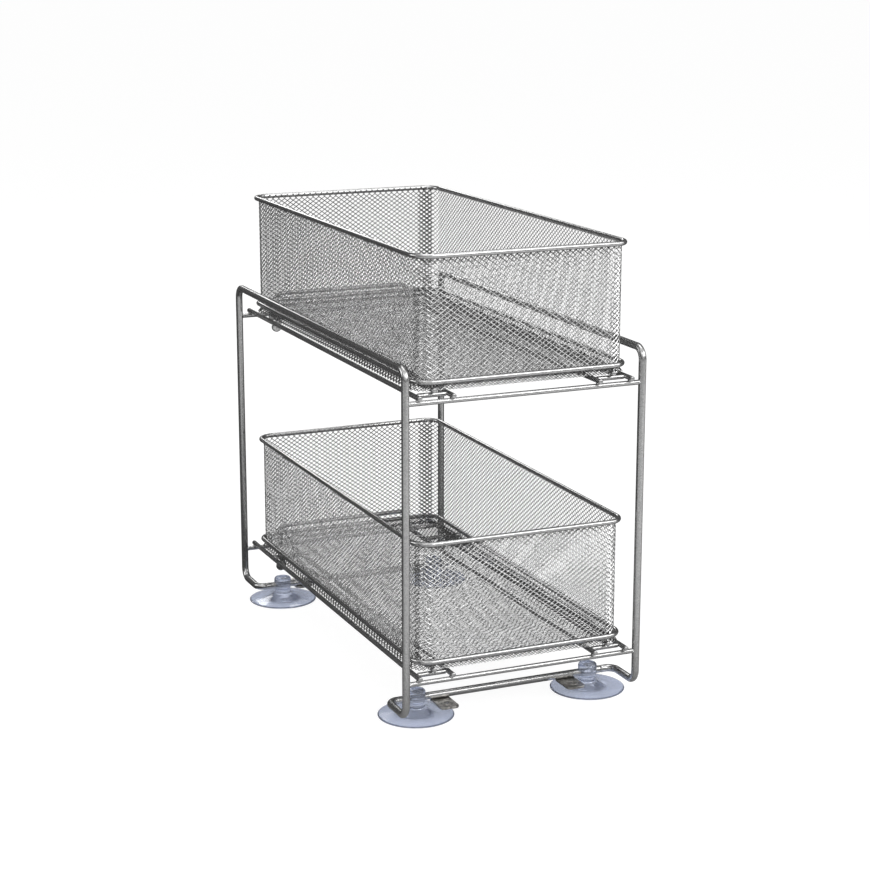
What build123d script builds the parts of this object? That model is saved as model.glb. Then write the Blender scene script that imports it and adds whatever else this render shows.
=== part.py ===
from build123d import *
from math import hypot
import os

# Under sink organizer: a bent-wire frame on suction cups with two sliding wire-mesh baskets.
# X runs across, Y to the back and Z up, from the middle of the footprint on the floor.

# Baskets
basket_width = 187.0
basket_corner = 15.0
ring_rise = 11.0
rim_rise = 110.5
mesh_thickness = 0.8
strand = 1.6
net_border = 1.6
wall_cell_length = 19.0
wall_cell_height = 14.4
floor_cell_length = 26.0
floor_cell_width = 19.8

# Frame
post_spacing_y = 410.0
frame_wire = 6.4
wire = 4.2
basket_side_gap = 6.2
basket_front_inset = 2.5
basket_rear_inset = 11.0
base_height = 14.7
side_height = 288.0
foot_run = 39.0
frame_bend = 10.0
foot_bend = 8.0
stub_length = 13.0
lower_cross_rise = 28.0
upper_cross_drop = 28.0

# Rails, rungs and back stops
rail_side_gap = 5.7
rail_gauge = 29.2
rail_overhang = 4.5
rung_set_back = 7.5
stop_rise = 15.0
stop_bend = 8.0

# Suction cups
cup_inset = 25.0
cup_disc = 64.0
cup_rim_width = 2.0
cup_edge = 0.9
cup_hollow = 2.0
cup_shoulder_radius = 10.0
cup_shoulder_height = 5.0
cup_neck = 14.4
cup_neck_rise = 1.4
cup_head = 16.4
cup_head_above_wire = 7.8
cup_head_below_wire = 1.2
cup_head_round = 2.4
cup_wire_clearance = 0.05

# Foot plates with a screw hole
plate_width = 17.0
plate_front = 23.5
plate_back = 4.5
plate_thickness = 2.0
plate_corner = 4.0
screw_hole_inset = 21.5
screw_hole_front = 14.0
screw_hole = 4.6
emboss_width = 2.0
emboss_height = 0.6

# Runners, glide bars and retainers
running_gap = 0.3
runner_set_back = 5.0
glide_inset = 55.0
glide_overhang = 1.4
tab_width = 5.0
tab_thickness = 2.5
tab_rail_gap = 0.5
tab_drop = 8.8
tab_foot = 9.4
tab_foot_reach = 3.9

# Places that follow from the sizes
half_width = basket_width / 2
post_x = half_width + (wire + frame_wire) / 2 + basket_side_gap
post_y = post_spacing_y / 2
basket_front = post_y - basket_front_inset
basket_rear = post_y - basket_rear_inset
outer_rail_x = post_x - (wire + frame_wire) / 2 - rail_side_gap
inner_rail_x = outer_rail_x - rail_gauge
cup_x = post_x - cup_inset
screw_hole_x = cup_x - screw_hole_inset
glide_y = basket_rear - glide_inset
base_y = post_y - foot_run
stub_x = post_x - stub_length
top_z = base_height + side_height
wire_radius = wire / 2
cross_rises = {"lower": lower_cross_rise, "upper": side_height - upper_cross_drop}
rail_places = {"outer": outer_rail_x, "inner": inner_rail_x}
runner_x = (outer_rail_x + inner_rail_x) / 2
rung_y = rung_set_back - post_y
stop_x = inner_rail_x + wire
basket_length = basket_front + basket_rear
basket_middle = (basket_rear - basket_front) / 2
mesh_inset = wire_radius
sides = {"left": -1, "right": 1}
ends = {"front": -1, "rear": 1}


def cross_height(tier):
    return base_height + cross_rises[tier]


def rail_height(tier):
    return cross_height(tier) + wire


def runner_height(tier):
    return rail_height(tier) + wire + running_gap


def floor_height(tier):
    return runner_height(tier) + wire_radius


def bar(start, end, diameter):
    run = Vector(*end) - Vector(*start)
    return Solid.make_cylinder(diameter / 2, run.length, Plane(origin=start, z_dir=run))


def bent_bar(path, diameter):
    return sweep(Plane(origin=path @ 0, z_dir=path % 0) * Circle(diameter / 2), path=path)


def save(shape, name):
    export_step(shape, f"parts/{name}.step")


# One side of the frame, from the front foot over the top to the rear foot
def side_wire(side):
    x = side * post_x
    foot_end = side * stub_x
    path = FilletPolyline(
        (foot_end, -base_y, base_height),
        (x, -base_y, base_height),
        (x, -post_y, base_height),
        (x, -post_y, top_z),
        (x, post_y, top_z),
        (x, post_y, base_height),
        (x, base_y, base_height),
        (foot_end, base_y, base_height),
        radius=[foot_bend, frame_bend, frame_bend, frame_bend, frame_bend, foot_bend],
    )
    return bent_bar(path, frame_wire)


# A cross wire's ends are shaped to the round posts that they are welded to
def cross_wire(end, tier):
    y, z = end * post_y, cross_height(tier)
    shape = bar((-post_x, y, z), (post_x, y, z), wire)
    for side in sides.values():
        shape -= bar((side * post_x, y, z - frame_wire), (side * post_x, y, z + frame_wire), frame_wire)
    return shape


def rail(side, place, tier):
    x, z, reach = side * place, rail_height(tier), post_y + rail_overhang
    return bar((x, -reach, z), (x, reach, z), wire)


# The short bar between a pair of rails, which the basket's runner slides on
def rung(side, tier):
    z = rail_height(tier)
    start = (side * (inner_rail_x + wire_radius), rung_y, z)
    end = (side * (outer_rail_x - wire_radius), rung_y, z)
    return bar(start, end, wire)


# The wire arch that the basket meets when it is pushed home
def back_stop(tier):
    foot, top = cross_height(tier) + wire_radius, rail_height(tier) + stop_rise
    path = FilletPolyline(
        (-stop_x, post_y, foot),
        (-stop_x, post_y, top),
        (stop_x, post_y, top),
        (stop_x, post_y, foot),
        radius=stop_bend,
    )
    return bent_bar(path, wire)


# A soft disc, hollow below, with a neck and a head that the base wire passes through
def suction_cup(side, end):
    disc, neck, head = cup_disc / 2, cup_neck / 2, cup_head / 2
    head_bottom = base_height - cup_head_below_wire
    head_top = base_height + cup_head_above_wire
    profile = Polyline(
        (0, cup_hollow),
        (disc - cup_rim_width, 0),
        (disc, 0),
        (disc, cup_edge),
        (cup_shoulder_radius, cup_shoulder_height),
        (neck, cup_shoulder_height + cup_neck_rise),
        (neck, head_bottom),
        (head, head_bottom),
        (head, head_top),
        (0, head_top),
        (0, cup_hollow),
    )
    shape = revolve(make_face(Plane.XZ * profile), axis=Axis.Z)
    crown = shape.edges().filter_by(GeomType.CIRCLE).group_by(Axis.Z)[-1]
    shape = fillet(crown, radius=cup_head_round)
    shape = Pos(side * cup_x, end * base_y, 0) * shape
    hole = frame_wire + 2 * cup_wire_clearance
    start = (side * cup_x - head, end * base_y, base_height)
    return shape - bar(start, (side * cup_x + head, end * base_y, base_height), hole)


# A stamped tab under the base wire, with a raised ring round its screw hole
def foot_plate(side, end):
    length = plate_front + plate_back
    top = base_height - frame_wire / 2
    hole_y = end * (base_y + screw_hole_front)
    middle_y = end * (base_y + (plate_front - plate_back) / 2)
    x = side * screw_hole_x
    outline = Pos(x, middle_y, top - plate_thickness) * RectangleRounded(plate_width, length, plate_corner)
    shape = extrude(outline, amount=plate_thickness)
    shape += Pos(x, hole_y, top) * extrude(Circle(screw_hole / 2 + emboss_width), amount=emboss_height)
    hole = bar((x, hole_y, top - plate_thickness), (x, hole_y, top + emboss_height), screw_hole)
    return shape - hole


# A closed wire round the basket's mesh
def hoop(rise, tier):
    z = rail_height(tier) + rise
    outline = Pos(0, basket_middle, z) * RectangleRounded(basket_width, basket_length, basket_corner)
    return bent_bar(outline.face().outer_wire(), wire)


# One flat face full of diamond gaps, halved along its edges, made into a thin sheet
def net(outline, length, height, cell_length, cell_height):
    columns = max(1, round((length - 2 * net_border) / cell_length))
    rows = max(1, round((height - 2 * net_border) / cell_height))
    half_long = (length - 2 * net_border) / columns / 2
    half_high = (height - 2 * net_border) / rows / 2
    shrink = 1 - strand * hypot(half_long, half_high) / (2 * half_long * half_high)
    gaps = []
    for column in range(2 * columns + 1):
        for row in range(column % 2, 2 * rows + 1, 2):
            corners = [
                ((column - columns + shrink * i) * half_long, (row - rows + shrink * j) * half_high)
                for i, j in ((-1, 0), (0, -1), (1, 0), (0, 1))
                if 0 <= column + i <= 2 * columns and 0 <= row + j <= 2 * rows
            ]
            if len(corners) > 2:
                gaps.append(Wire.make_polygon(corners, close=True))
    return extrude(Face(outline, gaps), amount=mesh_thickness)


def wall_net(length, height):
    outline = Rectangle(length, height).face().outer_wire()
    return net(outline, length, height, wall_cell_length, wall_cell_height)


# The four mesh walls stand inside the rim and the ring, between the rounded corners
def mesh_walls(tier):
    bottom, top = floor_height(tier), rail_height(tier) + rim_rise
    height, middle = top - bottom, (top + bottom) / 2
    side_face = half_width - mesh_inset
    front_face, rear_face = mesh_inset - basket_front, basket_rear - mesh_inset
    long_net = wall_net(basket_length - 2 * basket_corner, height)
    short_net = wall_net(basket_width - 2 * basket_corner, height)
    return {
        "left": Plane((-side_face, basket_middle, middle), x_dir=(0, 1, 0), z_dir=(1, 0, 0)) * long_net,
        "right": Plane((side_face, basket_middle, middle), x_dir=(0, -1, 0), z_dir=(-1, 0, 0)) * long_net,
        "front": Plane((0, front_face, middle), x_dir=(-1, 0, 0), z_dir=(0, 1, 0)) * short_net,
        "rear": Plane((0, rear_face, middle), x_dir=(1, 0, 0), z_dir=(0, -1, 0)) * short_net,
    }


# The mesh bends round the four upright corners in quarter-round strips
def corner_mesh(tier):
    bottom, top = floor_height(tier), rail_height(tier) + rim_rise
    outer = basket_corner - mesh_inset
    inner = outer - mesh_thickness
    strips = []
    for side in sides.values():
        for y, end in ((-basket_front, -1), (basket_rear, 1)):
            centre = (side * (half_width - basket_corner), y - end * basket_corner)
            quarter = Pos(side * outer / 2, end * outer / 2) * Rectangle(outer, outer)
            strip = (Circle(outer) - Circle(inner)) & quarter
            strips.append(Pos(*centre, bottom) * extrude(strip, amount=top - bottom))
    return Compound(children=strips)


def floor_mesh(tier):
    inset = mesh_inset + mesh_thickness
    width, length = basket_width - 2 * inset, basket_length - 2 * inset
    outline = RectangleRounded(length, width, basket_corner - inset).face().outer_wire()
    sheet = net(outline, length, width, floor_cell_length, floor_cell_width)
    place = Plane((0, basket_middle, floor_height(tier)), x_dir=(0, 1, 0), z_dir=(0, 0, 1))
    return place * sheet


# A runner under the basket's floor slides on the rung and ends in the glide bar
def runner(side, tier):
    x, z = side * runner_x, runner_height(tier)
    front = runner_set_back - post_y - rail_overhang
    return bar((x, front, z), (x, glide_y - wire_radius, z), wire)


def glide_bar(side, tier):
    z, reach = runner_height(tier), wire_radius + glide_overhang
    start = (side * (inner_rail_x - reach), glide_y, z)
    return bar(start, (side * (outer_rail_x + reach), glide_y, z), wire)


# A tab hangs from the glide bar beside the outer rail, and its round foot reaches out below the rail
def retainer(side, tier):
    x, z, top = side * outer_rail_x, rail_height(tier), runner_height(tier)
    front, rear = glide_y - tab_thickness / 2, glide_y + tab_thickness / 2
    slot_width = wire + 2 * tab_rail_gap
    tab_face = outer_rail_x - slot_width / 2
    foot_x = side * (tab_face + tab_foot_reach - tab_foot / 2)
    foot_z = z - tab_drop + tab_foot / 2
    middle = Pos(side * (tab_face - tab_width / 2), glide_y, (foot_z + top) / 2)
    shape = middle * Box(tab_width, tab_thickness, top - foot_z)
    shape += bar((foot_x, front, foot_z), (foot_x, rear, foot_z), tab_foot)
    shape -= bar((x, front - wire, z), (x, rear + wire, z), slot_width)
    above_rail = Pos(x, glide_y, z + slot_width / 2) * Box(slot_width, 2 * tab_thickness, slot_width)
    return shape - above_rail - glide_bar(side, tier)


os.makedirs("parts", exist_ok=True)

for side_name, side in sides.items():
    save(side_wire(side), f"{side_name}_side_wire")
    for end_name, end in ends.items():
        save(foot_plate(side, end), f"{end_name}_{side_name}_foot_plate")
        save(suction_cup(side, end), f"{end_name}_{side_name}_suction_cup")

for end_name, end in ends.items():
    y = end * base_y
    save(bar((-stub_x, y, base_height), (stub_x, y, base_height), frame_wire), f"{end_name}_base_wire")

for tier in cross_rises:
    for end_name, end in ends.items():
        save(cross_wire(end, tier), f"{end_name}_{tier}_cross_wire")
    save(back_stop(tier), f"{tier}_back_stop")
    save(hoop(rim_rise, tier), f"{tier}_rim_wire")
    save(hoop(ring_rise, tier), f"{tier}_ring_wire")
    save(corner_mesh(tier), f"{tier}_corner_mesh")
    save(floor_mesh(tier), f"{tier}_floor_mesh")
    for wall_name, wall in mesh_walls(tier).items():
        save(wall, f"{tier}_{wall_name}_mesh")
    for side_name, side in sides.items():
        for place_name, place in rail_places.items():
            save(rail(side, place, tier), f"{tier}_{side_name}_{place_name}_rail")
        save(rung(side, tier), f"{tier}_{side_name}_rung")
        save(runner(side, tier), f"{tier}_{side_name}_runner")
        save(glide_bar(side, tier), f"{tier}_{side_name}_glide_bar")
        save(retainer(side, tier), f"{tier}_{side_name}_retainer")
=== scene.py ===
from math import acos, atan2, cos, pi, radians, sin, tan

import bmesh
import bpy
import numpy as np
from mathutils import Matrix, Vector


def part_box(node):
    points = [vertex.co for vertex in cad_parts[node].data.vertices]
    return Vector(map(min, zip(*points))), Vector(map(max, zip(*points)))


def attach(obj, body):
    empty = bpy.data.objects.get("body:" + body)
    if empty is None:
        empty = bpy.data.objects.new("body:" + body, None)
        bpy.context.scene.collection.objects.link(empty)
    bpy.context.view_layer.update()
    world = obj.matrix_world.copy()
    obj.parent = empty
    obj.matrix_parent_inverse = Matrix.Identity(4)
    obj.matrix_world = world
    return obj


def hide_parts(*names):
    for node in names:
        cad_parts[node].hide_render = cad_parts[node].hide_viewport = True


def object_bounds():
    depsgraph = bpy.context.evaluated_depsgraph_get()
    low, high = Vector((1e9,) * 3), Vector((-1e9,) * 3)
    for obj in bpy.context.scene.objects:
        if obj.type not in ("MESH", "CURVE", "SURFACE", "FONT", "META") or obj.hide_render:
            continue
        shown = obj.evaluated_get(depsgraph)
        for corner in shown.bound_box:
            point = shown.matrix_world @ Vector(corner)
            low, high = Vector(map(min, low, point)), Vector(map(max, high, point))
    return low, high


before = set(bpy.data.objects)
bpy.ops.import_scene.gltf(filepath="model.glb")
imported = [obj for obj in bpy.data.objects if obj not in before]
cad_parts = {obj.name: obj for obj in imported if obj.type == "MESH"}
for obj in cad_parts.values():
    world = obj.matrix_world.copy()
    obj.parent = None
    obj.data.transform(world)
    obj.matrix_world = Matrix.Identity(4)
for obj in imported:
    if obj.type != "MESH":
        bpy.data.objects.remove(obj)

mm = 0.001
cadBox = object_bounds()
tiers = ("lower", "upper")
sides = {"left": -1, "right": 1}
ends = {"front": -1, "rear": 1}
print("frame loaded:", len(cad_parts), "nodes")


def hexColour(text):
    shares = [int(text[i:i + 2], 16) / 255 for i in (1, 3, 5)]
    return [s / 12.92 if s <= 0.04045 else ((s + 0.055) / 1.055) ** 2.4 for s in shares] + [1]


# Settings go to a colour ramp's stops, to a socket of that name or number, or to the node itself
def addNode(tree, kind, settings={}, links={}):
    node = tree.nodes.new("ShaderNode" + kind)
    for name, value in settings.items():
        if name == "stops":
            for position, _ in value[1:-1]:
                node.color_ramp.elements.new(position)
            for stop, (position, colour) in zip(node.color_ramp.elements, value):
                stop.position = position
                stop.color = hexColour(colour)
        elif isinstance(name, int) or name in node.inputs:
            node.inputs[name].default_value = value
        else:
            setattr(node, name, value)
    for name, source in links.items():
        tree.links.new(source, node.inputs[name])
    return node


def newMaterial(name):
    material = bpy.data.materials.new(name)
    material.use_nodes = True
    material.node_tree.nodes.clear()
    return material, material.node_tree


# Powder-coated steel wire: a satin silver skin whose flakes sparkle a little, over a faint orange peel
silverPowderCoat = {
    "colour": "#b4b4b4",
    "flakeDark": "#989898",
    "flakeLight": "#d4d4d4",
    "flakeSize": 0.5 * mm,
    "peelSize": 1.6 * mm,
    "peelDepth": 0.012 * mm,
    "peelStrength": 0.5,
    "metallic": 0.9,
    "roughness": 0.2,
    "roughnessSpread": 0.06,
}


def makePowderCoat(name, look):
    material, tree = newMaterial(name)
    place = addNode(tree, "TexCoord").outputs["Object"]
    flakes = addNode(tree, "TexVoronoi", {"Scale": 1 / look["flakeSize"]}, {"Vector": place})
    flakeShade = addNode(tree, "ValToRGB", {
        "stops": [(0, look["flakeDark"]), (0.5, look["colour"]), (1, look["flakeLight"])],
    }, {"Fac": flakes.outputs["Color"]})
    peel = addNode(tree, "TexNoise", {"Scale": 1 / look["peelSize"], "Detail": 2}, {"Vector": place})
    rough = addNode(tree, "MapRange", {
        "To Min": look["roughness"] - look["roughnessSpread"],
        "To Max": look["roughness"] + look["roughnessSpread"],
    }, {"Value": peel.outputs["Fac"]})
    bump = addNode(tree, "Bump", {
        "Strength": look["peelStrength"],
        "Distance": look["peelDepth"],
    }, {"Height": peel.outputs["Fac"]})
    skin = addNode(tree, "BsdfPrincipled", {"Metallic": look["metallic"]}, {
        "Base Color": flakeShade.outputs["Color"],
        "Roughness": rough.outputs["Result"],
        "Normal": bump.outputs["Normal"],
    })
    addNode(tree, "OutputMaterial", {}, {"Surface": skin.outputs["BSDF"]})
    return material


# Expanded steel, slit and stretched under the same coat, in two copies: painted light makes one slope's
# strands bright and painted shade makes the other's dull
expandedSteel = {
    "paintedLit": {"colour": "#b0b0b0", "strandDark": "#7c7c7c", "strandLight": "#e4e4e4"},
    "paintedShaded": {"colour": "#929292", "strandDark": "#626262", "strandLight": "#c6c6c6"},
    "strandPatch": 1.1 * mm,
    "metallic": 0.9,
    "roughness": 0.22,
}


def makeExpandedSteel(name, look, strand):
    material, tree = newMaterial(name)
    place = addNode(tree, "TexCoord").outputs["Object"]
    patches = addNode(tree, "TexNoise", {"Scale": 1 / look["strandPatch"], "Detail": 1}, {"Vector": place})
    shade = addNode(tree, "ValToRGB", {
        "stops": [(0.3, strand["strandDark"]), (0.5, strand["colour"]), (0.7, strand["strandLight"])],
    }, {"Fac": patches.outputs["Fac"]})
    skin = addNode(tree, "BsdfPrincipled", {
        "Metallic": look["metallic"],
        "Roughness": look["roughness"],
    }, {"Base Color": shade.outputs["Color"]})
    addNode(tree, "OutputMaterial", {}, {"Surface": skin.outputs["BSDF"]})
    return material


# Pressed steel, zinc plated: darker than the coat, with the soft blotches of the plating's crystals
zincPlate = {
    "dark": "#7f7d7a",
    "light": "#dad7d2",
    "crystalSize": 2.2 * mm,
    "grainSize": 0.6 * mm,
    "grainDepth": 0.02 * mm,
    "grainStrength": 0.6,
    "metallic": 0.9,
    "roughness": 0.28,
}


def makeZincPlate(name, look):
    material, tree = newMaterial(name)
    place = addNode(tree, "TexCoord").outputs["Object"]
    crystals = addNode(tree, "TexVoronoi", {"Scale": 1 / look["crystalSize"]}, {"Vector": place})
    shade = addNode(tree, "ValToRGB", {
        "stops": [(0, look["dark"]), (1, look["light"])],
    }, {"Fac": crystals.outputs["Color"]})
    grain = addNode(tree, "TexNoise", {"Scale": 1 / look["grainSize"], "Detail": 3}, {"Vector": place})
    bump = addNode(tree, "Bump", {
        "Strength": look["grainStrength"],
        "Distance": look["grainDepth"],
    }, {"Height": grain.outputs["Fac"]})
    skin = addNode(tree, "BsdfPrincipled", {
        "Metallic": look["metallic"],
        "Roughness": look["roughness"],
    }, {
        "Base Color": shade.outputs["Color"],
        "Normal": bump.outputs["Normal"],
    })
    addNode(tree, "OutputMaterial", {}, {"Surface": skin.outputs["BSDF"]})
    return material


# Moulded soft PVC, clear with a blue cast: the moulding leaves slow waves that bend what is seen through it
softPvc = {
    "colour": "#c3cadb",
    "shadowColour": "#dde1f2",
    "waveSize": 14 * mm,
    "waveDepth": 0.25 * mm,
    "waveStrength": 0.5,
    "ior": 1.53,
    "roughness": 0.12,
    "transmission": 0.86,
}


def makeSoftPvc(name, look):
    material, tree = newMaterial(name)
    place = addNode(tree, "TexCoord").outputs["Object"]
    waves = addNode(tree, "TexNoise", {"Scale": 1 / look["waveSize"], "Detail": 2}, {"Vector": place})
    bump = addNode(tree, "Bump", {
        "Strength": look["waveStrength"],
        "Distance": look["waveDepth"],
    }, {"Height": waves.outputs["Fac"]})
    skin = addNode(tree, "BsdfPrincipled", {
        "Base Color": hexColour(look["colour"]),
        "Roughness": look["roughness"],
        "IOR": look["ior"],
        "Transmission Weight": look["transmission"],
    }, {"Normal": bump.outputs["Normal"]})
    passing = addNode(tree, "BsdfTransparent", {"Color": hexColour(look["shadowColour"])})
    path = addNode(tree, "LightPath")
    mix = addNode(tree, "MixShader", {}, {
        "Fac": path.outputs["Is Shadow Ray"],
        1: skin.outputs["BSDF"],
        2: passing.outputs["BSDF"],
    })
    addNode(tree, "OutputMaterial", {}, {"Surface": mix.outputs["Shader"]})
    return material


wireCoat = makePowderCoat("silver_powder_coat", silverPowderCoat)
# Painted light and shade: a lit copy and a shaded copy of the same strand coat, one for each slope
paintedLitStrand = makeExpandedSteel("expanded_steel_painted_lit_strand", expandedSteel, expandedSteel["paintedLit"])
paintedShadedStrand = makeExpandedSteel("expanded_steel_painted_shaded_strand", expandedSteel, expandedSteel["paintedShaded"])
plateZinc = makeZincPlate("zinc_plated_steel", zincPlate)
cupPvc = makeSoftPvc("clear_soft_pvc", softPvc)
print("materials made")


# One object from closed parts, smooth up to its sharp angle in degrees, or flat-sided where that is 0
def addPiece(name, body, material, parts, replaced=(), sharpAngle=35):
    points, faces, start = [], [], 0
    for partPoints, partFaces in parts:
        points.append(np.asarray(partPoints, float).reshape(-1, 3))
        faces += [[start + i for i in face] for face in partFaces]
        start += len(points[-1])
    mesh = bpy.data.meshes.new(name)
    mesh.from_pydata(np.concatenate(points).tolist(), [], faces)
    mesh.materials.append(material)
    if sharpAngle:
        closed = bmesh.new()
        closed.from_mesh(mesh)
        bmesh.ops.recalc_face_normals(closed, faces=closed.faces)
        closed.to_mesh(mesh)
        closed.free()
        mesh.shade_smooth()
        mesh.set_sharp_from_angle(angle=radians(sharpAngle))
    piece = bpy.data.objects.new(name, mesh)
    bpy.context.scene.collection.objects.link(piece)
    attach(piece, body)
    if replaced:
        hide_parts(*replaced)


def evenTurns(count):
    return [2 * pi * k / count for k in range(count)]


# A line through the corners, with each one rounded to its own bend
def bentLine(corners, bends, steps, closed=False):
    points = []
    for i, corner in enumerate(corners):
        if not closed and i in (0, len(corners) - 1):
            points.append(corner)
            continue
        back = (corners[i - 1] - corner).normalized()
        ahead = (corners[(i + 1) % len(corners)] - corner).normalized()
        halfAngle = back.angle(ahead) / 2
        centre = corner + (back + ahead).normalized() * bends[i] / sin(halfAngle)
        start = (corner + back * bends[i] / tan(halfAngle) - centre).normalized()
        end = (corner + ahead * bends[i] / tan(halfAngle) - centre).normalized()
        points += [centre + start.slerp(end, k / steps) * bends[i] for k in range(steps + 1)]
    return points


# Rings of points joined into a skin, closed at both ends unless it runs round
def skinOver(rings, runsRound=False):
    count = len(rings[0])
    faces = []
    for r in range(len(rings) if runsRound else len(rings) - 1):
        a, b = r * count, (r + 1) % len(rings) * count
        faces += [[a + k, a + (k + 1) % count, b + (k + 1) % count, b + k] for k in range(count)]
    if not runsRound:
        faces.append(list(range(count))[::-1])
        faces.append([(len(rings) - 1) * count + k for k in range(count)])
    return np.concatenate([np.asarray(ring, float) for ring in rings]), faces


# Wires are drawn round, and their cut ends are tumbled to a soft edge
wireSkin = {"facets": 24, "endRound": 0.9 * mm, "endSteps": 3}


def wireAlong(points, radius, closed=False):
    count = len(points)
    aheads = []
    for i in range(count):
        before = points[i] - points[i - 1] if closed or i else points[1] - points[0]
        after = points[(i + 1) % count] - points[i] if closed or i < count - 1 else points[-1] - points[-2]
        aheads.append((before.normalized() + after.normalized()).normalized())
    stations = [(point, ahead, radius) for point, ahead in zip(points, aheads)]
    if not closed:
        (start, startAhead, _), (end, endAhead, _) = stations[0], stations[-1]
        stations = stations[1:-1]
        for k in range(wireSkin["endSteps"] + 1):
            turn = pi / 2 * k / wireSkin["endSteps"]
            back = wireSkin["endRound"] * (1 - sin(turn))
            slim = wireSkin["endRound"] * (1 - cos(turn))
            stations.insert(0, (start + startAhead * back, startAhead, radius - slim))
            stations.append((end - endAhead * back, endAhead, radius - slim))
    steep = abs(aheads[0].z) > 0.9
    normal = Vector((0, 1, 0)) if steep else Vector((0, 0, 1))
    rings = []
    for point, ahead, size in stations:
        normal = (normal - ahead * normal.dot(ahead)).normalized()
        across = ahead.cross(normal)
        turns = evenTurns(wireSkin["facets"])
        rings.append([point + (normal * cos(a) + across * sin(a)) * size for a in turns])
    return skinOver(rings, closed)


# A node's straight wire runs along its longest side
def straightWire(node):
    low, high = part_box(node)
    size = high - low
    middle = (low + high) / 2
    axis = max(range(3), key=lambda k: size[k])
    start, end = middle.copy(), middle.copy()
    start[axis], end[axis] = low[axis], high[axis]
    return wireAlong([start, end], min(size) / 2)


sideWire = {"bend": 10 * mm, "footBend": 8 * mm, "bendSteps": 10}
baseLow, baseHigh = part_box("front_base_wire")
baseRadius = (baseHigh.z - baseLow.z) / 2
baseHeight = (baseHigh.z + baseLow.z) / 2
baseReach = -(baseHigh.y + baseLow.y) / 2  # from the middle out to a base wire

for sideName, side in sides.items():
    low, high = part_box(f"{sideName}_side_wire")
    outer, stubEnd = (low.x + baseRadius, high.x) if side < 0 else (high.x - baseRadius, low.x)
    front, rear, top = low.y + baseRadius, high.y - baseRadius, high.z - baseRadius
    corners = [
        Vector((stubEnd, -baseReach, baseHeight)),
        Vector((outer, -baseReach, baseHeight)),
        Vector((outer, front, baseHeight)),
        Vector((outer, front, top)),
        Vector((outer, rear, top)),
        Vector((outer, rear, baseHeight)),
        Vector((outer, baseReach, baseHeight)),
        Vector((stubEnd, baseReach, baseHeight)),
    ]
    foot, bend = sideWire["footBend"], sideWire["bend"]
    line = bentLine(corners, [0, foot, bend, bend, bend, bend, foot, 0], sideWire["bendSteps"])
    addPiece(f"{sideName}_side_bent_wire", "frame", wireCoat,
             [wireAlong(line, baseRadius)], [f"{sideName}_side_wire"])

straightNodes = [f"{endName}_base_wire" for endName in ends]
for tier in tiers:
    straightNodes += [f"{endName}_{tier}_cross_wire" for endName in ends]
    for sideName in sides:
        straightNodes += [f"{tier}_{sideName}_{kind}" for kind in ("outer_rail", "inner_rail", "rung")]
for node in straightNodes:
    addPiece(node + "_drawn", "frame", wireCoat, [straightWire(node)], [node])

backStop = {"bend": 8 * mm, "bendSteps": 8}
for tier in tiers:
    low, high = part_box(f"{tier}_back_stop")
    radius = (high.y - low.y) / 2
    left, right, top = low.x + radius, high.x - radius, high.z - radius
    y = (low.y + high.y) / 2
    corners = [Vector((x, y, z)) for x, z in ((left, low.z), (left, top), (right, top), (right, low.z))]
    line = bentLine(corners, [0, backStop["bend"], backStop["bend"], 0], backStop["bendSteps"])
    addPiece(f"{tier}_back_stop_bent", "frame", wireCoat,
             [wireAlong(line, radius)], [f"{tier}_back_stop"])
print("frame wires made")


# A small bead where two wires cross or meet
weldBead = {
    "reach": 2.2 * mm,
    "rise": 1.1 * mm,
    "facets": 12,
    "rings": 6,
    "intoPost": 0.2,  # share of the wire's radius by which a cross wire's bead sits in from its end
}


def bead(place):
    rings = []
    for r in range(1, weldBead["rings"]):
        lift = pi * r / weldBead["rings"]
        rings.append([place + Vector((
            weldBead["reach"] * sin(lift) * cos(a),
            weldBead["reach"] * sin(lift) * sin(a),
            -weldBead["rise"] * cos(lift),
        )) for a in evenTurns(weldBead["facets"])])
    return skinOver(rings)


frameBeads = []
for tier in tiers:
    for endName in ends:
        crossLow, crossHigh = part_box(f"{endName}_{tier}_cross_wire")
        cross = (crossLow + crossHigh) / 2
        for sideName in sides:
            for kind in ("inner_rail", "outer_rail"):
                railLow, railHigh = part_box(f"{tier}_{sideName}_{kind}")
                frameBeads.append(bead(Vector(((railLow.x + railHigh.x) / 2, cross.y, railLow.z))))
        for side in sides.values():
            x = side * (crossHigh.x - baseRadius * weldBead["intoPost"])
            frameBeads.append(bead(Vector((x, cross.y, cross.z))))
    stopLow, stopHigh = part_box(f"{tier}_back_stop")
    stopRadius = (stopHigh.y - stopLow.y) / 2
    for x in (stopLow.x + stopRadius, stopHigh.x - stopRadius):
        frameBeads.append(bead(Vector((x, (stopLow.y + stopHigh.y) / 2, stopLow.z))))
addPiece("frame_weld_beads", "frame", wireCoat, frameBeads)
print("welds made:", len(frameBeads))


# Stamped tabs with a raised ring round the screw hole
footPlate = {
    "corner": 4 * mm,
    "edgeRoll": 0.3 * mm,
    "holeFromFront": 14 * mm,
    "holeRadius": 2.3 * mm,
    "ringRadius": 4.3 * mm,
    "ringRise": 0.6 * mm,
    "points": 72,
    "halvings": 30,
}


# How far a ray from the hole's centre runs before it leaves the rounded outline, found by halving
def reachInPlate(hole, ray, centre, halfX, halfY, corner):
    low, high = 0.0, halfX + halfY
    for _ in range(footPlate["halvings"]):
        reach = (low + high) / 2
        p = hole + ray * reach - centre
        dx, dy = max(abs(p.x) - halfX + corner, 0), max(abs(p.y) - halfY + corner, 0)
        inside = dx * dx + dy * dy <= corner * corner and abs(p.x) <= halfX and abs(p.y) <= halfY
        low, high = (reach, high) if inside else (low, reach)
    return low


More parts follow.
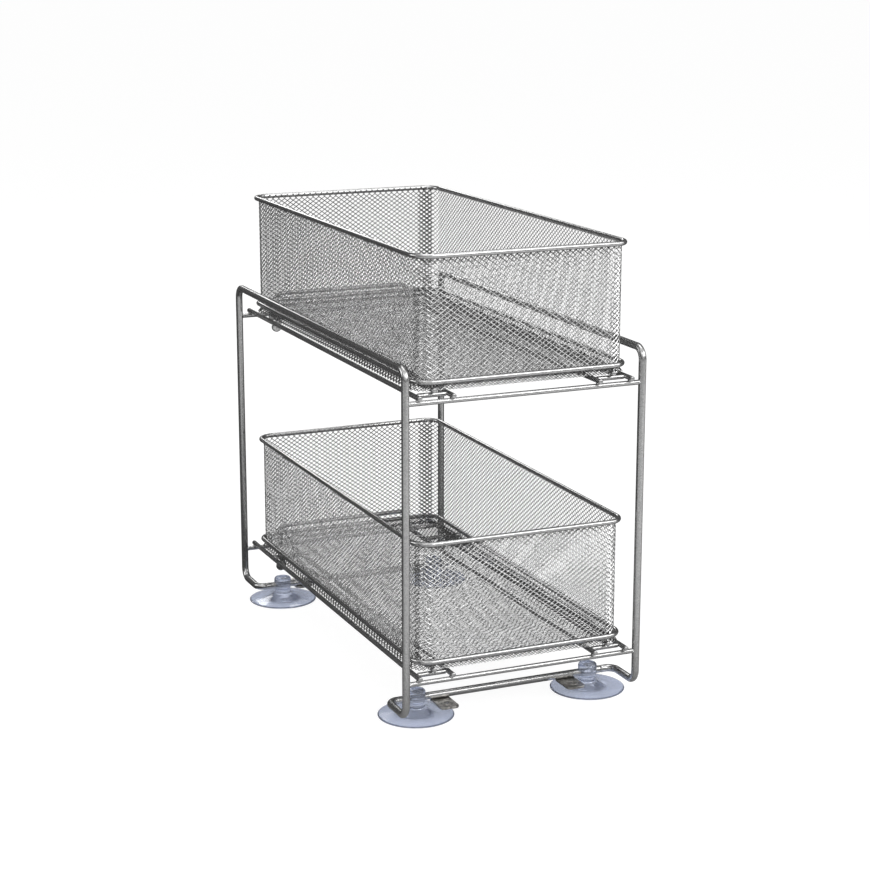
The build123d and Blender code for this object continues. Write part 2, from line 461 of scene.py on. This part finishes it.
plateRays = [Vector((cos(a), sin(a))) for a in evenTurns(footPlate["points"])]
for endName, end in ends.items():
    for sideName in sides:
        node = f"{endName}_{sideName}_foot_plate"
        low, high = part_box(node)
        centre = Vector((low.x + high.x, low.y + high.y)) / 2
        halfX, halfY = (high.x - low.x) / 2, (high.y - low.y) / 2
        hole = Vector((centre.x, end * (baseReach + footPlate["holeFromFront"])))
        roll, corner = footPlate["edgeRoll"], footPlate["corner"]
        ring, bore = footPlate["ringRadius"], footPlate["holeRadius"]
        top = high.z - footPlate["ringRise"]
        loops = []
        for inset, z in ((roll, low.z), (0, low.z + roll), (0, top - roll), (roll, top)):
            edge = (centre, halfX - inset, halfY - inset, corner - inset)
            loops.append(([reachInPlate(hole, ray, *edge) for ray in plateRays], z))
        for radius, z in (
            (ring + roll, top), (ring, top + roll), (ring - roll, high.z),
            (bore + roll, high.z), (bore, high.z - roll), (bore, low.z + roll), (bore + roll, low.z),
        ):
            loops.append(([radius] * len(plateRays), z))
        rings = []
        for reaches, z in loops:
            rings.append([(hole.x + ray.x * r, hole.y + ray.y * r, z) for ray, r in zip(plateRays, reaches)])
        addPiece(node + "_stamped", "frame", plateZinc, [skinOver(rings, True)], [node])
print("foot plates made")


# Soft discs turned from one profile: reach and height above the floor, in mm
suctionCup = {
    "facets": 96,
    "sharpAngle": 50,
    "profile": [
        (30.0, 0.05), (31.4, 0.0), (31.9, 0.25), (32.0, 0.6), (31.6, 0.95), (30.2, 1.15), (26.0, 1.65),
        (20.0, 2.6), (15.0, 3.7), (12.0, 4.6), (10.2, 5.3), (8.9, 6.0), (8.0, 6.8), (7.6, 7.8), (7.6, 11.5),
        (7.3, 11.7), (7.3, 12.1), (7.8, 12.3), (8.0, 13.4), (7.65, 13.6), (7.65, 14.0), (8.1, 14.2),
        (8.1, 15.6), (7.7, 15.8), (7.7, 16.2), (8.1, 16.4), (8.1, 18.0), (7.7, 18.2), (7.7, 18.6),
        (8.05, 18.8), (8.0, 20.4), (7.7, 21.4), (7.0, 22.1), (5.8, 22.5), (3.0, 22.45), (0.6, 22.45),
    ],
    "underside": [(0.6, 2.1), (10.0, 1.9), (20.0, 1.3), (27.0, 0.5)],
}

for endName in ends:
    for sideName in sides:
        node = f"{endName}_{sideName}_suction_cup"
        low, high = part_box(node)
        x, y, _ = (low + high) / 2
        turns = evenTurns(suctionCup["facets"])
        rings = []
        for reach, z in suctionCup["underside"] + suctionCup["profile"]:
            rings.append([(x + reach * mm * cos(a), y + reach * mm * sin(a), z * mm) for a in turns])
        addPiece(node + "_moulded", "frame", cupPvc, [skinOver(rings)], [node],
                 sharpAngle=suctionCup["sharpAngle"])
print("suction cups made")


basketWire = {"corner": 15 * mm, "bendSteps": 10}
# A pressed tab beside the outer rail, with a round foot that reaches out below it
retainer = {
    "tabWidth": 5 * mm,
    "footRadius": 4.7 * mm,
    "railGap": 0.5 * mm,
    "edgeRoll": 0.6 * mm,
    "steps": 30,
}


# Down the tab's inner edge, round the foot, and back up round the rail to the tab's outer edge
def retainerLoop(side, rail, foot, railRadius, top, inset):
    radius = retainer["footRadius"] - inset
    slot = railRadius + retainer["railGap"] + inset
    rail = Vector((side * rail[0], rail[1]))
    foot = Vector((side * foot[0], foot[1]))
    outerEdge = rail.x - slot
    innerEdge = outerEdge - retainer["tabWidth"] + 2 * inset
    across = rail - foot
    leave = acos((innerEdge - foot.x) / radius)
    meet = atan2(across.y, across.x)
    meet -= acos((across.length_squared + radius ** 2 - slot ** 2) / (2 * across.length * radius))
    roundFoot = np.linspace(leave, 2 * pi + meet, retainer["steps"])
    loop = [Vector((outerEdge, top)), Vector((innerEdge, top))]
    loop += [foot + radius * Vector((cos(a), sin(a))) for a in roundFoot]
    turn = atan2(loop[-1].y - rail.y, loop[-1].x - rail.x)
    roundRail = np.linspace(turn, -pi, retainer["steps"])[1:]
    loop += [rail + slot * Vector((cos(a), sin(a))) for a in roundRail]
    return [(side * p.x, p.y) for p in loop]


for tier in tiers:
    body = f"{tier}_basket"
    for hoop in ("rim", "ring"):
        node = f"{tier}_{hoop}_wire"
        low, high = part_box(node)
        radius = (high.z - low.z) / 2
        z = (low.z + high.z) / 2
        xs, ys = (low.x + radius, high.x - radius), (low.y + radius, high.y - radius)
        corners = [Vector((xs[i], ys[j], z)) for i, j in ((0, 0), (1, 0), (1, 1), (0, 1))]
        line = bentLine(corners, [basketWire["corner"]] * 4, basketWire["bendSteps"], closed=True)
        addPiece(node + "_bent", body, wireCoat, [wireAlong(line, radius, closed=True)], [node])
    beads = []
    for sideName, side in sides.items():
        for kind in ("runner", "glide_bar"):
            node = f"{tier}_{sideName}_{kind}"
            addPiece(node + "_drawn", body, wireCoat, [straightWire(node)], [node])
        glideLow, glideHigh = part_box(f"{tier}_{sideName}_glide_bar")
        runnerLow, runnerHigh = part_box(f"{tier}_{sideName}_runner")
        runnerX = (runnerLow.x + runnerHigh.x) / 2
        beads.append(bead(Vector((runnerX, glideLow.y, (glideLow.z + glideHigh.z) / 2))))

        node = f"{tier}_{sideName}_retainer"
        low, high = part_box(node)
        railLow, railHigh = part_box(f"{tier}_{sideName}_outer_rail")
        rail = ((railLow.x + railHigh.x) / 2, (railLow.z + railHigh.z) / 2)
        railRadius = (railHigh.x - railLow.x) / 2
        footX = (high.x if side > 0 else low.x) - side * retainer["footRadius"]
        foot = (footX, low.z + retainer["footRadius"])
        roll = retainer["edgeRoll"]
        loops = []
        for y, inset in ((low.y, roll), (low.y + roll, 0), (high.y - roll, 0), (high.y, roll)):
            loops.append([(x, y, z) for x, z in retainerLoop(side, rail, foot, railRadius, high.z, inset)])
        # The tab takes the strands' painted lit copy of the coat
        addPiece(node + "_pressed", body, paintedLitStrand, [skinOver(loops)], [node])
    addPiece(f"{tier}_basket_weld_beads", body, wireCoat, beads)
print("basket wires made")


# Expanded sheet, strand by strand: on the walls they are narrow and lean out of the sheet, and on the floor
# they are wider and nearly flat. The wall's ends lap at the rear right corner, its hem flares out at the
# sides, and the floor's turned edge lines its lowest rows
diamondMesh = {
    "cellWidth": 5.75 * mm,
    "cellHeight": 4.1 * mm,
    "wall": {"width": 0.62 * mm, "depth": 0.45 * mm, "tilt": radians(-35)},
    "floor": {"width": 0.85 * mm, "depth": 0.3 * mm, "tilt": radians(-12)},
    "tiltSpread": radians(5),  # how unevenly the strands lean
    "overlap": 0.18 * mm,  # how far they run into one another where they meet
    "fromWire": 0.35 * mm,  # from the rim wire's inner side to the wall
    "aboveRim": -0.9 * mm,  # from the rim wire's middle to the top row
    "rearRise": 1.8 * mm,  # how much higher the rear wall's top row stands
    "rearFacing": 0.9,  # how squarely a wall faces the rear to count as the rear wall
    "floorLift": 0.31 * mm,
    "fringe": 3.4 * mm,  # how far the hem hangs below the floor
    "skirt": 4.2 * mm,  # the height over which it flares
    "skirtReach": 3.4 * mm,
    "turnedRows": 4,
    "lapWidth": 15 * mm,
    "lapShift": 6.5 * mm,  # from the corner's middle towards the rear wall
    "lapInset": 0.8 * mm,
    "lapSlip": 0.4,  # the columns by which the lapped sheets' diamonds miss one another
    "arcSteps": 24,
    "seeds": {"lower": 16, "upper": 17},
}


# Bars from the starts to the finishes, each leaning about its own line by the strand's tilt
def strands(starts, finishes, startNormals, finishNormals, strand, step, dice):
    along = finishes - starts
    along /= np.linalg.norm(along, axis=1, keepdims=True)
    angle = step * strand["tilt"] + dice.uniform(-1, 1, len(starts)) * diamondMesh["tiltSpread"]
    cosine, sine = np.cos(angle)[:, None], np.sin(angle)[:, None]
    corners = []
    for points, normals, way in ((starts, startNormals, -1), (finishes, finishNormals, 1)):
        side = np.cross(normals, along)
        wide = (side * cosine + normals * sine) * strand["width"] / 2
        deep = (normals * cosine - side * sine) * strand["depth"] / 2
        points = points + way * along * diamondMesh["overlap"]
        corners += [points - wide - deep, points + wide - deep, points + wide + deep, points - wide + deep]
    cloud = np.stack(corners, axis=1).reshape(-1, 3)
    # A bar's four sides, whose open ends lie inside its neighbours
    quads = np.array([[0, 1, 5, 4], [1, 2, 6, 5], [2, 3, 7, 6], [3, 0, 4, 7]])
    faces = (np.arange(len(starts))[:, None, None] * 8 + quads[None]).reshape(-1, 4)
    return cloud, faces.tolist()


# Columns and rows of the points where strands meet, which are every second crossing of a grid
def meetings(columns, rows):
    i, j = np.meshgrid(columns, rows, indexing="ij")
    meets = (i + j) % 2 == 0
    return i[meets], j[meets]


# Points, outward normals and distances round a rounded rectangle, from the front side's left end
def roundedOutline(low, high, corner):
    points, normals = [], []
    turnedHubs = (
        (-90, high[0] - corner, low[1] + corner),
        (0, high[0] - corner, high[1] - corner),
        (90, low[0] + corner, high[1] - corner),
        (180, low[0] + corner, low[1] + corner),
    )
    for turn, hubX, hubY in turnedHubs:
        for k in range(diamondMesh["arcSteps"] + 1):
            a = radians(turn + 90 * k / diamondMesh["arcSteps"])
            normals.append((cos(a), sin(a)))
            points.append((hubX + corner * cos(a), hubY + corner * sin(a)))
    points, normals = np.array(points[-1:] + points), np.array(normals[:1] + normals)
    distance = np.concatenate([[0], np.cumsum(np.linalg.norm(np.diff(points, axis=0), axis=1))])
    return points, normals, distance


# One slope's strands get the painted lit copy and the other's the painted shaded copy
slopes = {-1: ("rising", paintedLitStrand), 1: ("falling", paintedShadedStrand)}
for tier in tiers:
    body = f"{tier}_basket"
    dice = np.random.default_rng(diamondMesh["seeds"][tier])
    rimLow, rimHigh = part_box(f"{tier}_rim_wire")
    wireRadius = (rimHigh.z - rimLow.z) / 2
    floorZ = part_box(f"{tier}_floor_mesh")[0].z + diamondMesh["floorLift"]
    topZ = (rimLow.z + rimHigh.z) / 2 + diamondMesh["aboveRim"]
    inset = 2 * wireRadius + diamondMesh["fromWire"]
    low, high = (rimLow.x + inset, rimLow.y + inset), (rimHigh.x - inset, rimHigh.y - inset)
    corner = basketWire["corner"] - wireRadius - diamondMesh["fromWire"]
    points, normals, distance = roundedOutline(low, high, corner)
    around = distance[-1]
    down = topZ - floorZ + diamondMesh["fringe"]
    columns = 2 * round(around / diamondMesh["cellWidth"])
    rows = round(2 * down / diamondMesh["cellHeight"])

    def onWall(i, j, inwards):
        s = np.mod(i * around / columns, around)
        flat = np.stack([np.interp(s, distance, points[:, k]) for k in (0, 1)], axis=1)
        out = np.stack([np.interp(s, distance, normals[:, k]) for k in (0, 1)], axis=1)
        out /= np.linalg.norm(out, axis=1, keepdims=True)
        rearTop = (j == 0) & (out[:, 1] > diamondMesh["rearFacing"])
        z = topZ - j * down / rows + rearTop * diamondMesh["rearRise"]
        flare = np.clip(1 - (z - topZ + down) / diamondMesh["skirt"], 0, 1) * diamondMesh["skirtReach"]
        flare *= out[:, 0] ** 2  # all of it at the sides, none at the front and rear
        place = np.column_stack([flat + out * (flare - inwards)[:, None], z])
        return place, np.column_stack([out, np.zeros(len(z))])

    # Stretches of the outline: the straight sides and the corners between them, in turn
    wallNames = ("front", "corner", "right", "corner", "rear", "corner", "left", "corner")
    runs = []
    for length in (high[0] - low[0], high[1] - low[1]) * 2:
        runs += [length - 2 * corner, corner * pi / 2]
    stretchEnds = np.cumsum(runs)
    lapCentre = (stretchEnds[2] + stretchEnds[3]) / 2 + diamondMesh["lapShift"]

    i, j = meetings(np.arange(columns), np.arange(rows))
    turned = j >= rows - diamondMesh["turnedRows"]
    walls = {(name, step): [] for name in wallNames for step in slopes}
    for step in slopes:
        middle = np.mod((i + step / 2) * around / columns, around)
        zone = np.minimum(np.searchsorted(stretchEnds, middle), len(runs) - 1)
        sheets = [(name, zone == k, i, 0) for k, name in enumerate(wallNames)]
        inner = [(name, here & turned, i + 1, diamondMesh["lapInset"]) for name, here, _, _ in sheets]
        lapped = np.abs(middle - lapCentre) < diamondMesh["lapWidth"] / 2
        sheets.append(("corner", lapped, i + diamondMesh["lapSlip"], diamondMesh["lapInset"]))
        for name, here, column, inwards in sheets + inner:
            starts, startNormals = onWall(column[here], j[here], inwards)
            finishes, finishNormals = onWall(column[here] + step, j[here] + 1, inwards)
            walls[name, step].append(strands(
                starts, finishes, startNormals, finishNormals, diamondMesh["wall"], step, dice))
    for (name, step), parts in walls.items():
        slope, coat = slopes[step]
        addPiece(f"{tier}_{name}_{slope}_strands", body, coat, parts,
                 [f"{tier}_{name}_mesh"], sharpAngle=0)

    # The floor is one sheet, cut to the outline inside the walls
    halfX, halfY = (high[0] - low[0]) / 2, (high[1] - low[1]) / 2
    hubX, hubY = (high[0] + low[0]) / 2, (high[1] + low[1]) / 2
    stepX, stepY = diamondMesh["cellHeight"] / 2, diamondMesh["cellWidth"] / 2
    reachX, reachY = int(halfX / stepX) + 1, int(halfY / stepY) + 1

    def onFloor(i, j):
        x, y = j * stepX, i * stepY
        pastX = np.maximum(np.abs(x) - halfX + corner, 0)
        pastY = np.maximum(np.abs(y) - halfY + corner, 0)
        place = np.stack([hubX + x, hubY + y, np.full(len(x), floorZ)], axis=1)
        return place, np.hypot(pastX, pastY) <= corner

    i, j = meetings(np.arange(-reachY, reachY), np.arange(-reachX, reachX))
    for step, (slope, coat) in slopes.items():
        starts, startInside = onFloor(i, j)
        finishes, finishInside = onFloor(i + step, j + 1)
        here = startInside & finishInside
        up = np.tile([0.0, 0.0, 1.0], (here.sum(), 1))
        parts = [strands(starts[here], finishes[here], up, up, diamondMesh["floor"], step, dice)]
        addPiece(f"{tier}_floor_{slope}_strands", body, coat, parts,
                 [f"{tier}_floor_mesh"], sharpAngle=0)
    print(tier, "mesh made:", columns, "columns,", rows, "rows")


# White to the lens and through clear plastic, with a faint shadow. To the metal alone the floor is painted
# pale in front of the object and dark behind it, a painted reflection which gives the wires dark edges.
# Lengths are in metres
studioFloor = {
    "size": 60.0,
    "colour": "#f4f4f4",
    "glow": 0.9,
    "shadowColour": "#7f7f7f",
    "paintedFrontReflection": "#e0e0e0",
    "paintedRearReflection": "#464646",
    "paintedReflectionFadeFrom": -0.38,
    "paintedReflectionFadeTo": -0.04,
}


def rayKinds(tree):
    path = addNode(tree, "LightPath")
    white = addNode(tree, "Math", {"operation": "MAXIMUM"}, {
        0: path.outputs["Is Camera Ray"],
        1: path.outputs["Is Transmission Ray"],
    })
    return white.outputs["Value"], path.outputs["Is Glossy Ray"]


reach = studioFloor["size"] / 2
floorMesh = bpy.data.meshes.new("studio_floor")
floorMesh.from_pydata([(-reach, -reach, 0), (reach, -reach, 0), (reach, reach, 0), (-reach, reach, 0)],
                      [], [(0, 1, 2, 3)])
paper, tree = newMaterial("white_studio_paper")
seenWhite, seenInMetal = rayKinds(tree)
place = addNode(tree, "SeparateXYZ", {}, {"Vector": addNode(tree, "TexCoord").outputs["Object"]})
away = addNode(tree, "MapRange", {
    "From Min": studioFloor["paintedReflectionFadeFrom"],
    "From Max": studioFloor["paintedReflectionFadeTo"],
}, {"Value": place.outputs["Y"]})
# Painted reflection: the floor as the metal sees it, pale in front and darkening towards the rear
paintedReflectionRamp = addNode(tree, "ValToRGB", {
    "stops": [(0, studioFloor["paintedFrontReflection"]), (1, studioFloor["paintedRearReflection"])],
}, {"Fac": away.outputs["Result"]})
plain = addNode(tree, "BsdfDiffuse", {"Color": hexColour(studioFloor["colour"])})
mirrored = addNode(tree, "BsdfDiffuse", {}, {"Color": paintedReflectionRamp.outputs["Color"]})
shaded = addNode(tree, "BsdfDiffuse", {"Color": hexColour(studioFloor["shadowColour"])})
glow = addNode(tree, "Emission", {"Strength": studioFloor["glow"]})
white = addNode(tree, "AddShader", {}, {0: glow.outputs["Emission"], 1: shaded.outputs["BSDF"]})
toObject = addNode(tree, "MixShader", {}, {
    "Fac": seenInMetal,
    1: plain.outputs["BSDF"],
    2: mirrored.outputs["BSDF"],
})
toAll = addNode(tree, "MixShader", {}, {
    "Fac": seenWhite,
    1: toObject.outputs["Shader"],
    2: white.outputs["Shader"],
})
addNode(tree, "OutputMaterial", {}, {"Surface": toAll.outputs["Shader"]})
floorMesh.materials.append(paper)
floor = bpy.data.objects.new("studio_floor", floorMesh)
bpy.context.scene.collection.objects.link(floor)

# White to the lens. The metal sees a dark room below a bright ceiling, tipped to the front by lean. The room
# ends and the ceiling begins at angles above that tipped horizon, all in degrees
studioWorld = {
    "diffuseLevel": 0.4,
    "lean": 30,
    "roomUpTo": 22,
    "ceilingFrom": 60,
    "roomLevel": 0.08,
    "ceilingLevel": 1.08,
}
world = bpy.data.worlds.new("studio")
world.use_nodes = True
tree = world.node_tree
tree.nodes.clear()
seenWhite, seenInMetal = rayKinds(tree)
lean = radians(studioWorld["lean"])
upward = addNode(tree, "VectorMath", {"operation": "DOT_PRODUCT", 1: (0, -sin(lean), cos(lean))},
                 {0: addNode(tree, "TexCoord").outputs["Generated"]})
room = addNode(tree, "MapRange", {
    "From Min": sin(radians(studioWorld["roomUpTo"])),
    "From Max": sin(radians(studioWorld["ceilingFrom"])),
    "To Min": studioWorld["roomLevel"],
    "To Max": studioWorld["ceilingLevel"],
}, {"Value": upward.outputs["Value"]})
toObject = addNode(tree, "Mix", {"data_type": "FLOAT", "A": studioWorld["diffuseLevel"]}, {
    "Factor": seenInMetal,
    "B": room.outputs["Result"],
})
toAll = addNode(tree, "Mix", {"data_type": "FLOAT", "B": 1.0}, {
    "Factor": seenWhite,
    "A": toObject.outputs["Result"],
})
sky = addNode(tree, "Background", {"Color": (1, 1, 1, 1)}, {"Strength": toAll.outputs["Result"]})
addNode(tree, "OutputWorld", {}, {"Surface": sky.outputs["Background"]})
bpy.context.scene.world = world

# Soft boxes: place and size in metres, power in watts
softBoxes = {
    "front_box": {"place": (1.0, -1.9, 1.6), "size": (1.8, 1.0), "power": 24},
    "left_box": {"place": (-1.2, -1.8, 1.9), "size": (1.2, 0.8), "power": 4},
    "side_box": {"place": (-2.1, 0.6, 1.15), "size": (1.4, 1.0), "power": 11},
    "right_box": {"place": (2.0, -0.9, 1.2), "size": (1.2, 1.2), "power": 12},
    "top_box": {"place": (0.3, 0.2, 2.4), "size": (1.4, 1.0), "power": 13},
    "rear_box": {"place": (0.4, 2.4, 1.25), "size": (1.0, 0.5), "power": 6},
}
aim = (cadBox[0] + cadBox[1]) / 2
for name, box in softBoxes.items():
    lamp = bpy.data.lights.new(name, "AREA")
    lamp.shape = "RECTANGLE"
    lamp.size, lamp.size_y = box["size"]
    lamp.energy = box["power"]
    holder = bpy.data.objects.new(name, lamp)
    holder.location = box["place"]
    holder.rotation_euler = (aim - holder.location).to_track_quat("-Z", "Y").to_euler()
    holder.visible_camera = False
    bpy.context.scene.collection.objects.link(holder)

# The photograph's viewpoint: place in metres, turned down and to the right in degrees, lens in mm
lens = {
    "place": (-0.71069, -1.6577, 0.63912),
    "down": 13.87,
    "right": 23.48,
    "length": 85.84,
    "sensorWidth": 36,
    "farthest": 200,  # metres, so that the whole floor shows
}
camera = bpy.data.cameras.new("camera")
camera.lens = lens["length"]
camera.sensor_width = lens["sensorWidth"]
camera.clip_end = lens["farthest"]
cameraHolder = bpy.data.objects.new("camera", camera)
cameraHolder.location = lens["place"]
cameraHolder.rotation_euler = (radians(90 - lens["down"]), 0, radians(-lens["right"]))
bpy.context.scene.collection.objects.link(cameraHolder)
bpy.context.scene.camera = cameraHolder
bpy.context.scene.view_settings.view_transform = "Standard"
print("stage, lamps and camera made")
